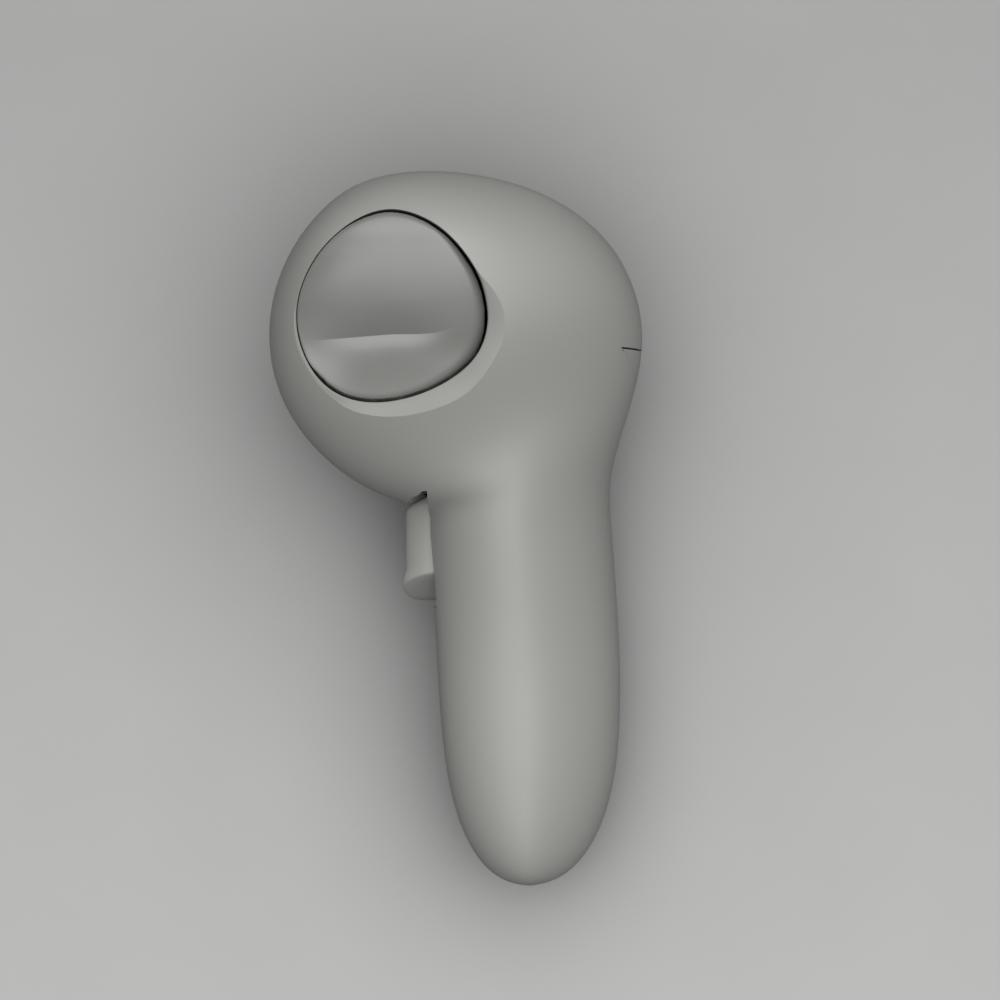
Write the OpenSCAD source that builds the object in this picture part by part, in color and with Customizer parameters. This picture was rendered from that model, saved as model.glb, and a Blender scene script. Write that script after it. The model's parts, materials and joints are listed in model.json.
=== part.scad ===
// Motion controller wand, left hand, lying on its back with the trigger side up.
// X runs across, Y from the tail to the head, Z up; the floor is z = 0. Millimetres.

/* [Body] */
// overall length, tail to head
body_len = 126; // [122:0.5:130]
// wall of the moulded shells
wall = 2; // [1.6:0.1:2.2]
// running gap between neighbouring shells
seam = 0.3; // [0.2:0.05:0.4]

/* [Head] */
// plan radius of the ball on the trigger side
head_r = 31; // [30.5:0.1:31.5]
// plan radius of the shoulder on the palm side
shoulder_r = 29; // [28.5:0.1:29.5]
// distance of the two plan centres
shoulder_dx = 6.2; // [5.5:0.1:7]
// height of the front of the head above the floor, before its rounding
head_h = 58; // [57:0.5:59.5]

/* [Handle] */
// greatest width of the handle
handle_w = 32.8; // [32:0.2:34]
// height of the front of the handle above the floor
handle_h = 32; // [31.5:0.25:33]
// length of the rounded tail
tail_len = 36; // [34:0.5:38]
// how far the handle axis sits to the right of the middle
handle_x = 13.3; // [12.8:0.1:13.8]

/* [Trigger] */
// mean radius of the trigger cap
trigger_r = 15.2; // [14.8:0.1:15.6]
// gap round the trigger cap
trigger_gap = 0.55; // [0.5:0.05:0.7]
// thickness of the trigger cap
trigger_wall = 1.8; // [1.5:0.1:2]
// swing of the trigger in degrees
trigger_swing = 13; // [10:0.5:14]
// diameter of the trigger pin
trigger_pin_d = 2; // [1.6:0.1:2.4]

/* [Grip] */
// length of the grip lever
grip_len = 17; // [16:0.5:18]
// depth of the grip lever, front to back
grip_depth = 9; // [8:0.5:10]
// how far the grip lever stands out of the handle
grip_out = 4.2; // [3.5:0.1:5]
// diameter of the grip pin
grip_pin_d = 1.6; // [1.4:0.1:2]

/* [Face] */
// lean of the thumb face from upright, degrees
face_tilt = 37.5; // [37:0.25:38]
// radius of the face plate
face_r = 21.5; // [20.5:0.1:22]
// thickness of the face plate
face_t = 2; // [1.6:0.1:2.2]

/* [Thumbstick] */
// radius of the thumbstick cap
stick_r = 7.6; // [7:0.1:8.2]
// tilt of the thumbstick each way, degrees
stick_tilt = 14; // [10:0.5:14]
// press of the thumbstick
stick_click = 0.5; // [0.3:0.05:0.6]

/* [Buttons] */
// radius of the two round buttons
button_r = 4.6; // [4.2:0.1:4.9]
// how far the buttons stand out of the face
button_out = 1.7; // [1.4:0.1:2.2]
// press of the round buttons
button_press = 1; // [0.8:0.05:1.2]
// radius of the menu button
menu_r = 2.6; // [2.2:0.1:3]
// press of the menu button
menu_press = 0.5; // [0.3:0.05:0.6]
// gap round every button
button_gap = 0.3; // [0.25:0.05:0.4]

/* [Battery] */
// diameter of the cell
cell_d = 14.5; // [14:0.1:14.8]
// length of the cell
cell_len = 50.5; // [49:0.25:51]
// width of the battery cover
cover_w = 19; // [18:0.25:20]
// length of the battery cover
cover_len = 54; // [53:0.25:56]

/* [Lanyard] */
// bore of the lanyard bush
lanyard_d = 3.5; // [3:0.1:4]

/* [Hidden] */
$fn = 48;
seat = 0.05;
tail_y = -body_len / 2;
head_top = body_len / 2;
head_y = head_top - (head_r + shoulder_r) / 2 + 1.3;
head_x = -(head_r + shoulder_dx + shoulder_r) / 2 + head_r;
shoulder_x = head_x + shoulder_dx;
tail_exp = 2.3;
bow_y = tail_y + 17;
bow_r = 530;
crown = 0.4;
handle_z = handle_h / 2;
face_d = 15.5;
face_at = [head_x, head_y + face_d * cos(face_tilt), head_h / 2 - 1 - face_d * sin(face_tilt)];
trigger_x = head_x - 8.3;
trigger_y = head_y + 4.2;
ramp = 1.7;
pivot_y = trigger_y + 12;
pivot_z = head_h - 16;
lip_slant = 0.2;
pivot_v = (pivot_y - face_at.y) * sin(face_tilt) + (pivot_z - face_at.z) * cos(face_tilt);
pivot_w = (pivot_y - face_at.y) * cos(face_tilt) - (pivot_z - face_at.z) * sin(face_tilt);
pin_run = 0.05;
lug_dx = 3;
lug_t = 2;
ear_dx = 5.5;
ear_t = 2;
eye_r = trigger_pin_d / 2 + 1.8;
cell_x = handle_x - 0.4;
cell_z = handle_z - 3.8;
tray_r = cell_d / 2 + 1.75;
grip_y = head_y - 29.3;
cell_y = grip_y - cell_len - 0.9;
tray_y0 = cell_y - 4.6;
tray_y1 = cell_y + cell_len + 1.9;
tray_top = cell_z + tray_r;
strip_z = handle_h - 6.4;
part_z = handle_z - 3;
cover_y = cell_y - 5.6;
grip_z = part_z + 5;
grip_wall_x = axis_x(grip_y - 5) - handle_w / 2;
grip_px = grip_wall_x + 5.6;
grip_py = grip_y - 2;
grip_arm = 1.2;
grip_run = 0.4;
grip_z0 = grip_z - grip_depth / 2;
grip_z1 = grip_z + grip_depth / 2;
lanyard_y = tail_y + 8.6;
lanyard_z = handle_z - 6.7;
lanyard_len = 18.2;
lanyard_wall = 1;
board_z = -14;
board_t = 1.2;
board_r = 20;
ring_r = 18.6;
stick_at = [-5.5, 4.5];
stick_pz = -9.5;
button_a = [10.5, 5.5];
button_b = [9, -6.5];
menu_at = [-3, -12.5];
light_at = [3.5, -15.5];
switch_h = 1.5;
post_a = [170, 250, 330];

function mix(a, b, m) = a + (b - a) * m;
function spow(v, k) = sign(v) * pow(abs(v), k);

// plan outline of the head: a ball that widens to the shoulder
function egg(a, inset) =
  let (m = (1 + cos(a)) / 2)
  [mix(head_x, shoulder_x, m), head_y] + (mix(head_r, shoulder_r, m) - inset) * [cos(a), sin(a)];

// the handle axis bows slightly to the palm side
function axis_x(y) = handle_x - pow(y - bow_y, 2) / (2 * bow_r);

// one section: left end, right end, heights of the two ends, front, back, place of the crest, and the shares of
// the front that stand upright on the left and on the right
function handle_row(y, w, s, f, b) =
  [axis_x(y) - w, y, axis_x(y) + w, y, handle_z - 1 + 3.5 * s, handle_z - 1 - 3 * s, f, b, 0.44, 0.8, 0.45];

function tail_rows(inset) = [
  for (a = [0, 14, 28, 42, 56, 72, 90])
    let (k = 2 / tail_exp)
    let (s = pow(sin(a), k))
    let (d = pow(s, 0.6))
    let (y = tail_y + inset + (tail_len - inset) * (1 - pow(cos(a), k)))
    handle_row(y, (handle_w / 2 - inset) * s, s, mix(handle_z - 1, handle_h - inset, d),
      mix(handle_z - 1, inset - 0.4, d))
];

// sections of the handle: place between the tail and the head, rise of the front, back
function grip_rows(inset) = [
  for (r = [[0.3, 1.2, 0], [0.59, 3.2, 0.5], [0.79, 4.7, 0.7], [0.94, 5.8, 0.7]])
    handle_row(mix(tail_y + tail_len, head_y - head_r, r[0]), handle_w / 2 - inset, 1, handle_h + r[1] - inset,
      r[2] + inset)
];

// head sections: left angle, right angle, left end, right end, front below the top, back, crest, upright shares
head_table = [
  [260, -41, 19, 14, 19.5, 0.5, 0.45, 0.85, 0.5],
  [254, -30, 20.2, 16.5, 18.4, 0.2, 0.46, 0.92, 0.55],
  [243, -17, 22.6, 20, 16.6, -0.3, 0.47, 1, 0.62],
  [228, 0, 25, 23.5, 11.6, -0.8, 0.47, 1, 0.7],
  [209, 19, 26.8, 26, 3.4, -1.2, 0.47, 1, 0.75],
  [191, 41, 28, 28, 0, -1, 0.47, 1, 0.78],
  [172, 66, 29, 29, 0.6, 2, 0.48, 1, 0.85],
  [154, 91, 30.5, 30.5, 5, 6, 0.49, 1, 0.92],
  [139, 109, 32, 32, 11.5, 14, 0.5, 1, 1],
  [128, 119, 33, 33, 18, 24, 0.5, 1, 1],
  [124, 124, 33.5, 33.5, 24.9, 33.5, 0.5, 1, 1]
];

function neck_x(i) = handle_x + handle_w / 2 + [-2.7, -1.3][i];
function neck_y(i) = head_y + [-25.5, -19][i];

function head_rows(inset) = [
  for (i = [0 : len(head_table) - 1])
    let (t = head_table[i])
    let (l = egg(t[0], inset))
    let (r = i < 2 ? [neck_x(i) - inset, neck_y(i)] : egg(t[1], inset))
    let (e = i < len(head_table) - 1 ? inset : 0)
    let (k = head_h / 58)
    [l.x, l.y, r.x, r.y, k * t[2], k * t[3], head_h + crown - k * t[4] - e, k * t[5] + e,
      t[6], t[7], t[8]]
];

function rows(inset) =
  let (p = concat(tail_rows(inset), grip_rows(inset), head_rows(inset)))
  concat([p[0]], p, [p[len(p) - 1]]);

function blend(p, u) =
  let (n = len(p) - 1)
  let (i = min(floor(u), n - 1))
  let (t = u - i)
  (pow(1 - t, 3) * p[max(i - 1, 0)] + (3 * pow(t, 3) - 6 * t * t + 4) * p[i]
    + (-3 * pow(t, 3) + 3 * t * t + 3 * t + 1) * p[i + 1] + pow(t, 3) * p[min(i + 2, n)]) / 6;

// a rounded section, fuller at the back; in front the sides lean in by what isn't upright
function section(s, n) =
  let (cx = mix(s[0], s[2], s[8]))
  let (cy = mix(s[1], s[3], s[8]))
  [
    for (j = [0 : n - 1])
      let (a = 360 * j / n)
      let (k = 2 / (sin(a) >= 0 ? 2.2 : 2.8))
      let (e = spow(cos(a), k))
      let (h = spow(sin(a), k))
      let (right = e >= 0)
      let (q = h < 0 ? 1 : right ? s[10] : s[9])
      let (w = q * abs(e) + (1 - q) * (1 - h * h))
      [mix(cx, right ? s[2] : s[0], w), mix(cy, right ? s[3] : s[1], w),
        mix(right ? s[5] : s[4], h >= 0 ? s[6] : s[7], abs(h))]
  ];

// closed skin through a list of rings of n points, with a point at each end
module skin(rings, first, last, n) {
  k = len(rings);
  pts = concat([first], [for (r = rings) each r], [last]);
  end = 1 + k * n;
  polyhedron(pts, concat(
    [for (j = [0 : n - 1]) [0, 1 + (j + 1) % n, 1 + j]],
    [
      for (i = [0 : k - 2], j = [0 : n - 1], h = [0, 1])
        let (p = 1 + i * n + j)
        let (q = 1 + i * n + (j + 1) % n)
        h == 0 ? [p, q, p + n] : [q, q + n, p + n]
    ],
    [for (j = [0 : n - 1]) [end, end - n + j, end - n + (j + 1) % n]]));
}

// the whole housing as a loft along the handle and into the head
module loft(inset, count, n) {
  p = rows(inset);
  m = len(p) - 1;
  a = p[0];
  b = p[m];
  rings = [for (i = [1 : count - 1]) section(blend(p, 0.25 + (m - 0.5) * i / count), n)];
  skin(rings, [a[0], a[1], a[4]], [b[0], b[1], b[4]], n);
}

module face_frame() translate(face_at) rotate([-(90 + face_tilt), 0, 0]) rotate([0, 0, 180]) children();

module along_x(x, y, z) translate([x, y, z]) rotate([0, 90, 0]) children();

module along_y(x, y, z) translate([x, y, z]) rotate([-90, 0, 0]) children();

module outer() difference() {
  loft(0, 64, 48);
  face_frame() translate([-60, -60, 0]) cube([120, 120, 60]);
  translate([-60, -80, -20]) cube([120, 160, 20]);
}

module inner() difference() {
  loft(wall, 32, 28);
  face_frame() translate([-60, -60, -wall]) cube([120, 120, 60]);
}

// space of the back shell: behind the parting line, with a spike up the palm side of the head
module back_space(g) intersection() {
  translate([-60, 0, 0]) rotate([90, 0, 90]) linear_extrude(120)
    polygon([[tail_y - 20, -9], [tail_y - 20, part_z + g], [head_y - 28, part_z + g],
      [head_y - 15, part_z + 4 + g], [head_y - 8, part_z + 11 + g], [head_y - 2 + g, part_z + 28 + g],
      [head_y - 2 + g, -9]]);
  translate([0, 0, -10]) linear_extrude(60)
    polygon([[-50, tail_y - 20], [50, tail_y - 20], [50, head_y - 4.4 + g], [head_x + 16, head_y + 0.6 + g],
      [head_x - 4, head_y - 27 + g], [-50, head_y - 29 + g]]);
}

// trigger outline: direction and share of the mean radius
trigger_shape = [[90, 1.02], [62, 0.96], [38, 0.93], [14, 0.98], [-10, 1.04], [-32, 1.05], [-56, 0.97],
  [-80, 0.97], [-104, 1.05], [-126, 1.12], [-148, 1.09], [-172, 1.05], [164, 0.98], [140, 0.94], [114, 0.96]];

function ring_blend(p, u) =
  let (n = len(p))
  let (i = floor(u))
  let (t = u - i)
  (pow(1 - t, 3) * p[(i + n - 1) % n] + (3 * pow(t, 3) - 6 * t * t + 4) * p[i % n]
    + (-3 * pow(t, 3) + 3 * t * t + 3 * t + 1) * p[(i + 1) % n] + pow(t, 3) * p[(i + 2) % n]) / 6;

function trigger_outline(r, n) =
  let (p = [for (s = trigger_shape) r * s[1] * 1.02 * [cos(s[0]), sin(s[0])]])
  [for (j = [0 : n - 1]) ring_blend(p, len(p) * (1 - j / n))];

// height of the rim that the trigger opening is cut to, from the middle of the trigger
function rim_at(u, v) =
  head_h - 0.7 + 0.032 * u + 0.311 * v - 0.019 * u * u - 0.028 * v * v + 0.013 * u * v;

// height of the trigger front below the top of the head: a slope, a finger valley, a lip and a plate
function trigger_drop(v) =
  v > 12 ? 1.8 + 0.05 * pow(v - 12, 2)
  : v > -4.4 ? 1.8 + 7 * pow((12 - v) / 16.4, 1.6)
  : v > -6.2 ? mix(8.8, 7.9, (1 - cos(100 * (-4.4 - v))) / 2)
  : 7.9 + 4.2 * pow((-6.2 - v) / 9.4, 1.3);

function trigger_front(u, v) =
  let (w = v - 0.12 * u)
  head_h - trigger_drop(w) + 0.05 * u - mix(0.6, 4.2, min(max((w + 5) / 12, 0), 1)) * pow(u / 15.8, 2);

// how far a side of the trigger leans for each millimetre of depth; only the lower sides lean, against the swing
function lean(v) = lip_slant * min(max((4 - v) / 8, 0), 1);

// a point of the opening of the trigger, h above the rim
function trigger_point(u, v, h) = [trigger_x + u, trigger_y + v + lean(v) * h, rim_at(u, v) + h];

// a slanted well with a ramp round its mouth; low is how far it lies below the rim
module trigger_well(gap, low, depth) {
  n = 64;
  mouth = trigger_outline(trigger_r + gap + 6 * ramp, n);
  well = trigger_outline(trigger_r + gap, n);
  rise = [for (j = [0 : n - 1])
    [trigger_x + mouth[j].x, trigger_y + mouth[j].y + lip_slant * 6, rim_at(well[j].x, well[j].y) + 6 - low]];
  walls = [for (h = [-low, -low - depth]) [for (q = well) trigger_point(q.x, q.y, h)]];
  skin(concat([rise], walls), trigger_point(0, 0, 6), trigger_point(0, 0, -low - depth), n);
}

// a point of the trigger, some way below its front
function trigger_place(q, below) = [trigger_x + q.x, trigger_y + q.y, trigger_front(q.x, q.y) - below];

module trigger_cap() {
  n = 64;
  o = trigger_outline(trigger_r, n);
  i = trigger_outline(trigger_r - trigger_wall, n);
  front = [for (f = [0.1, 0.2, 0.29, 0.36, 0.42, 0.48, 0.56, 0.65, 0.74, 0.84, 0.95, 1])
    [for (q = o) trigger_place(f * q, f == 1 ? 0.6 : 0)]];
  skirt = [for (p = [o, i]) [for (q = p) trigger_skirt(q)]];
  back = [for (f = [1, 0.75, 0.45]) [for (q = i) trigger_place(f * q, trigger_wall + (f == 1 ? 0.6 : 0.4))]];
  top = [trigger_x, trigger_y, trigger_front(0, 0)];
  skin(concat(front, skirt, back), top, top - [0, 0, trigger_wall + 0.4], n);
}

function trigger_skirt(q) =
  let (low = min(trigger_front(q.x, q.y) - 0.6 - trigger_wall, rim_at(q.x, q.y)) - 2.4)
  [trigger_x + q.x, trigger_y + q.y + lean(q.y) * (low - trigger_front(q.x, q.y)), low];

module trigger() color("lightgray") difference() {
  union() {
    trigger_cap();
    for (s = [-1, 1]) along_x(trigger_x + s * lug_dx - lug_t / 2, pivot_y, pivot_z) {
      cylinder(r = eye_r, h = lug_t);
      linear_extrude(lug_t) polygon([[eye_r * 0.7, -eye_r * 0.7], [-eye_r * 0.7, eye_r * 0.7],
        [-13.2, -1.5], [-11.9, -6], [-9.8, -10.5]]);
    }
  }
  along_x(trigger_x - 20, pivot_y, pivot_z) cylinder(d = trigger_pin_d + 2 * pin_run, h = 40);
  along_x(trigger_x + lug_dx - lug_t, pivot_y - 3.4, pivot_z + 7.5) cylinder(r = 1.5 + seat, h = 2 * lug_t);
}

module trigger_pin() color("silver")
  along_x(trigger_x - ear_dx - ear_t / 2, pivot_y, pivot_z) cylinder(d = trigger_pin_d, h = 2 * ear_dx + ear_t);

module trigger_magnet() color("dimgray")
  along_x(trigger_x + lug_dx - lug_t / 2, pivot_y - 3.4, pivot_z + 7.5) cylinder(r = 1.5, h = lug_t);

// a coil along Z with closed ends, swept round its axis
module coil(r0, r1, wire, h, turns, steps, sides) {
  n = turns * steps;
  rings = [for (i = [0 : n])
    let (a = 360 * i / steps)
    let (r = mix(r0, r1, i / n))
    let (z = mix(wire, h - wire, i / n))
    [for (j = [0 : sides - 1]) let (b = 360 * j / sides)
      [(r + wire * cos(b)) * cos(a), (r + wire * cos(b)) * sin(a), z + wire * sin(b)]]];
  skin(rings, [r0, 0, wire], [r1 * cos(360 * turns), r1 * sin(360 * turns), h - wire], sides);
}

module trigger_spring() color("gray")
  along_x(trigger_x - lug_dx + lug_t / 2 + 0.3, pivot_y, pivot_z)
    coil(trigger_pin_d / 2 + 0.7, trigger_pin_d / 2 + 0.7, 0.3, 2 * lug_dx - lug_t - 0.6, 4, 12, 6);

// outline of the lever seen from the front
module grip_outline() {
  x = grip_wall_x - grip_out;
  y0 = grip_y - grip_len;
  polygon([[grip_wall_x + 2, grip_y - 0.6], [grip_wall_x - 1.6, grip_y], [grip_wall_x - 2.6, grip_y - 0.3],
    [x + 0.5, grip_y - 1.5], [x + 0.1, grip_y - 3], [x, grip_y - 6], [x - 0.1, y0 + 6], [x - 0.5, y0 + 3.6],
    [x - 0.5, y0 + 1.8], [x, y0 + 0.6], [x + 1.2, y0], [grip_wall_x + 2, y0]]);
}

// section of the lever: flat inside, round outside
module grip_section() {
  r = grip_depth * 0.36;
  translate([0, -grip_depth / 2 + r]) square([12, grip_depth - 2 * r]);
  translate([r, -grip_depth / 2]) square([12, grip_depth]);
  for (s = [-1, 1]) translate([r, s * (grip_depth / 2 - r)]) circle(r);
}

module grip_lever() color("lightgray") difference() {
  union() {
    intersection() {
      translate([0, 0, grip_z - grip_depth / 2]) linear_extrude(grip_depth) grip_outline();
      translate([grip_wall_x - grip_out - 0.6, grip_y + 1, grip_z]) rotate([90, 0, 0])
        linear_extrude(grip_len + 3) grip_section();
    }
    translate([grip_wall_x + 1.2, grip_y - grip_len + 0.6, grip_z - grip_depth / 2 + 1])
      cube([2, grip_len - 1.2, grip_depth - 2]);
    translate([grip_px, grip_py, grip_z - grip_depth / 2]) cylinder(d = grip_pin_d + 2.4, h = grip_depth);
    translate([grip_wall_x + 1.2, grip_py - 1.6, grip_z - grip_depth / 2 + 1])
      cube([grip_px - grip_wall_x - 1.2, 3.2, grip_depth - 2]);
  }
  translate([grip_px, grip_py, 0]) cylinder(d = grip_pin_d + 2 * pin_run, h = 50);
  translate([-20, grip_y - grip_len - 0.2, grip_z0]) rotate([-20, 0, 0]) translate([0, -10, -6])
    cube([20 + grip_wall_x - 0.4, 10, 3 * grip_depth]);
  translate([grip_wall_x + 1.8, grip_y - grip_len + 5, grip_z]) rotate([0, 90, 0])
    cylinder(r = 1.5 + seat, h = 3);
}

module grip_pin() color("silver")
  translate([grip_px, grip_py, grip_z0 - grip_run - grip_arm + seat])
    cylinder(d = grip_pin_d, h = grip_depth + 2 * (grip_run + grip_arm - seat));

module grip_magnet() color("dimgray")
  translate([grip_wall_x + 1.8 + seat, grip_y - grip_len + 5, grip_z]) rotate([0, 90, 0])
    cylinder(r = 1.5, h = 1.3);

module grip_spring() color("gray")
  translate([grip_wall_x + 3.2 + seat, grip_y - 8, grip_z]) rotate([0, 90, 0])
    coil(1.3, 1.3, 0.25, tray_left(grip_z - 1.6) - grip_wall_x - 3.2 - 2 * seat, 4, 12, 6);

// left side of the tray at a height
function tray_left(z) = cell_x - sqrt(pow(tray_r, 2) - pow(z - cell_z, 2));

// a rib along the inside of a shell
module rib(x, y0, y1, z0, z1) translate([x - 0.6, y0, z0]) cube([1.2, y1 - y0, z1 - z0]);

module grip_slot() translate([grip_wall_x - 2.2, grip_y - grip_len - 1, grip_z0 - grip_run])
  cube([8, grip_len + 1.5, grip_depth + 2 * grip_run]);

module front_shell() color("white") union() {
  difference() {
    outer();
    difference() {
      inner();
      trigger_well(trigger_gap + wall, 0.6, 3);
    }
    back_space(seam / 2);
    trigger_well(trigger_gap, 0, 14);
    grip_slot();
    face_frame() translate([0, 0, -wall - 1]) cylinder(r = face_r + seam / 2, h = wall + 2);
    along_x(-5, lanyard_y, lanyard_z) cylinder(d = lanyard_d + 2 * lanyard_wall + 0.2, h = 40);
  }
  rib(handle_x - 6.5, cell_y + 12, cell_y + 26, handle_h - 5.5, handle_h - 1.7);
  rib(handle_x + 5, cell_y + 12, cell_y + 26, handle_h - 7.5, handle_h - 4.3);
}

module back_shell() color("white") union() {
  difference() {
    intersection() {
      outer();
      back_space(-seam / 2);
    }
    inner();
    translate([cell_x, 0, -1]) linear_extrude(12) cover_outline(0);
    along_x(-5, lanyard_y, lanyard_z) cylinder(d = lanyard_d + 2 * lanyard_wall + 0.2, h = 40);
  }
  for (s = [-1, 1])
    rib(handle_x - 0.4 + s * (handle_w / 2 - 2.2), cell_y + 11, cell_y + 30, part_z - 5.6, part_z - 1.3);
}

module cover_outline(inset) {
  r = 6;
  w = cover_w / 2 - inset;
  translate([-w, cover_y + r]) square([2 * w, cover_len - 2 * r]);
  translate([-w + r - inset, cover_y + inset]) square([2 * (w - r + inset), cover_len - 2 * inset]);
  for (s = [-1, 1], y = [cover_y + r, cover_y + cover_len - r])
    translate([s * (w + inset - r), y]) circle(r - inset);
}

module battery_cover() color("white") union() {
  intersection() {
    difference() {
      outer();
      inner();
    }
    translate([cell_x, 0, -1]) linear_extrude(12) cover_outline(seam);
  }
  for (y = [2.4, 16.4, 30.4, 43.4]) translate([cell_x - 5, cell_y + y - 0.6, wall - 0.8])
    cube([10, 1.2, cell_z - cell_d / 2 - wall + 0.6]);
}

module battery_tray() color("dimgray") difference() {
  union() {
    along_y(cell_x, tray_y0, cell_z) cylinder(r = tray_r, h = tray_y1 - tray_y0);
    translate([cell_x - handle_w / 2 + wall + 0.6, cell_y + 12, part_z - 1])
      cube([handle_w - 2 * wall - 1.2, 19, 1.2]);
    translate([grip_px - 2, grip_py - 2.6, grip_z0 - grip_run - grip_arm])
      cube([cell_x - tray_r - grip_px + 5, 5.2, grip_arm]);
    translate([cell_x - tray_r + 1.2, grip_py - 2.6, grip_z0 - grip_run - grip_arm])
      cube([2.2, 5.2, grip_depth + 2 * (grip_run + grip_arm)]);
    translate([grip_px - 2, grip_py - 2.6, grip_z1 + grip_run])
      cube([cell_x - tray_r - grip_px + 5, 5.2, grip_arm]);
  }
  along_y(cell_x, tray_y0 + 1.2, cell_z) cylinder(d = cell_d + 0.7, h = tray_y1 - tray_y0 - 2.4);
  translate([cell_x - cell_d / 2 - 0.35, tray_y0 + 1.2, -5])
    cube([cell_d + 0.7, tray_y1 - tray_y0 - 2.4, cell_z + 5]);
  translate([cell_x - 30, tray_y0 - 20, -20]) cube([60, 150, part_z - 2.5 + 20]);
  translate([grip_px, grip_py, 0]) cylinder(d = grip_pin_d + 2 * seat, h = 50);
}

module battery_cell() color("gold") along_y(cell_x, cell_y, cell_z) rotate_extrude()
  polygon([[0, 0], [cell_d / 2 - 0.4, 0], [cell_d / 2, 0.4], [cell_d / 2, cell_len - 1.9],
    [cell_d / 2 - 0.4, cell_len - 1.5], [2.75, cell_len - 1.5], [2.75, cell_len], [0, cell_len]]);

module battery_spring() color("silver")
  along_y(cell_x, tray_y0 + 1.25, cell_z) coil(4.6, 2.2, 0.4, 3.3, 3, 16, 6);

module battery_contact() color("silver")
  along_y(cell_x, tray_y1 - 1.2 - 0.55, cell_z) translate([-4, -4, 0]) cube([8, 8, 0.5]);

module haptic_motor() color("silver") translate([cell_x - 4.5, cell_y + 10, tray_top + seat])
  cube([9, 22, strip_z - tray_top - 0.4]);

module led_strip() color("green") translate([cell_x - 2.5, cell_y + 2, strip_z]) cube([5, cell_len - 8, 0.5]);

module tracking_leds() color("black")
  for (y = [4, 14, 24, 34, 42]) translate([cell_x - 1, cell_y + y - 1, strip_z + 0.5 + seat]) cube([2, 2, 0.9]);

module lanyard_bush() color("silver") along_x(lanyard_x0(), lanyard_y, lanyard_z) difference() {
  cylinder(d = lanyard_d + 2 * lanyard_wall, h = lanyard_len);
  translate([0, 0, -1]) cylinder(d = lanyard_d, h = lanyard_len + 2);
}

function lanyard_x0() = axis_x(lanyard_y) - lanyard_len / 2;

module at_face(p, z) face_frame() translate([p.x, p.y, z]) children();

module face_plate() color("white") difference() {
  face_frame() rotate_extrude() polygon([[0, -face_t], [face_r - seam / 2, -face_t], [face_r - seam / 2, -0.4],
    [face_r - seam / 2 - 0.4, 0], [0, 0]]);
  at_face(stick_at, -5) cylinder(r = stick_r + 2.6, h = 10);
  at_face(stick_at, -1) cylinder(r1 = stick_r + 2.6, r2 = stick_r + 4.1, h = 1.5);
  for (p = [button_a, button_b]) at_face(p, -5) cylinder(r = button_r + button_gap, h = 10);
  at_face(menu_at, -5) cylinder(r = menu_r + button_gap, h = 10);
  at_face(light_at, -5) cylinder(r = 0.8, h = 10);
}

module button(p, r, out, travel) face_frame() translate([p.x, p.y, 0]) rotate_extrude()
  polygon([[0, board_z + switch_h + travel + 0.15], [1.2, board_z + switch_h + travel + 0.15],
    [1.2, -face_t - 1.5], [r + 0.7, -face_t - 1.5], [r + 0.7, -face_t - 0.35], [r, -face_t - 0.35],
    [r, out - 0.5], [r - 0.5, out], [0, out]]);

module upper_button() color("gray") button(button_a, button_r, button_out, button_press);

module lower_button() color("gray") button(button_b, button_r, button_out, button_press);

module menu_button() color("gray") button(menu_at, menu_r, 0.6, menu_press);

module button_switches() color("black")
  for (p = [button_a, button_b, menu_at]) at_face(p, board_z)
    translate([-2, -2, seat]) cube([4, 4, switch_h]);

module light_pipe() color("white") at_face(light_at, board_z + seat) cylinder(r = 0.75, h = -board_z);

module main_board() color("green") face_frame() difference() {
  translate([0, 0, board_z - board_t]) cylinder(r = board_r, h = board_t);
  translate([-30, 13, board_z - 5]) cube([60, 30, 10]);
  for (a = post_a) rotate([0, 0, a]) translate([ring_r, 0, board_z - 5]) cylinder(r = 0.9, h = 10);
}

module board_chips() color("black") face_frame() {
  translate([-9, -9, board_z - board_t - 1.4 - seat]) cube([9, 9, 1.4]);
  translate([4, 0, board_z - board_t - 1.2 - seat]) cube([6, 7, 1.2]);
  translate([-12, 3, board_z - board_t - 1 - seat]) cube([5, 5, 1]);
}

module board_screws() color("silver") face_frame()
  for (a = post_a) rotate([0, 0, a]) translate([ring_r, 0, 0]) {
    translate([0, 0, board_z - board_t - 1.2 - seat]) cylinder(r = 1.6, h = 1.2);
    translate([0, 0, board_z - board_t - 0.5]) cylinder(r = 0.8, h = board_t + 6);
  }

// a ring under the face plate with posts for the board and ears for the trigger pin
module head_frame() color("dimgray") difference() {
  union() {
    face_frame() {
      difference() {
        translate([0, 0, -face_t - seat - 2]) cylinder(r = face_r + 1.8, h = 2);
        translate([0, 0, -face_t - seat - 3]) cylinder(r = ring_r - 1.2, h = 4);
      }
      for (a = post_a) rotate([0, 0, a]) translate([ring_r, 0, board_z + seat])
        cylinder(r = 1.5, h = -board_z - face_t - 0.6);
      for (s = [-1, 1]) translate([head_x - trigger_x - s * ear_dx - ear_t / 2 + 0.2, pivot_v - 4.6, pivot_w])
        cube([ear_t - 0.4, 5.6, -face_t - 0.5 - pivot_w]);
    }
    for (s = [-1, 1]) along_x(trigger_x + s * ear_dx - ear_t / 2, pivot_y, pivot_z)
      cylinder(r = eye_r, h = ear_t);
  }
  face_frame() for (a = post_a) rotate([0, 0, a])
    translate([ring_r, 0, board_z - 1]) cylinder(r = 0.85, h = 7);
  along_x(trigger_x - 20, pivot_y, pivot_z) cylinder(d = trigger_pin_d + 2 * seat, h = 40);
}

module stick_frame() { at_face(stick_at, 0) children(); }

module stick_module() color("black") stick_frame() difference() {
  translate([-8, -8, board_z + seat]) cube([16, 16, 6.2]);
  translate([-6.3, -6.3, board_z + 1.4]) cube([12.6, 12.6, 10]);
}

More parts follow.
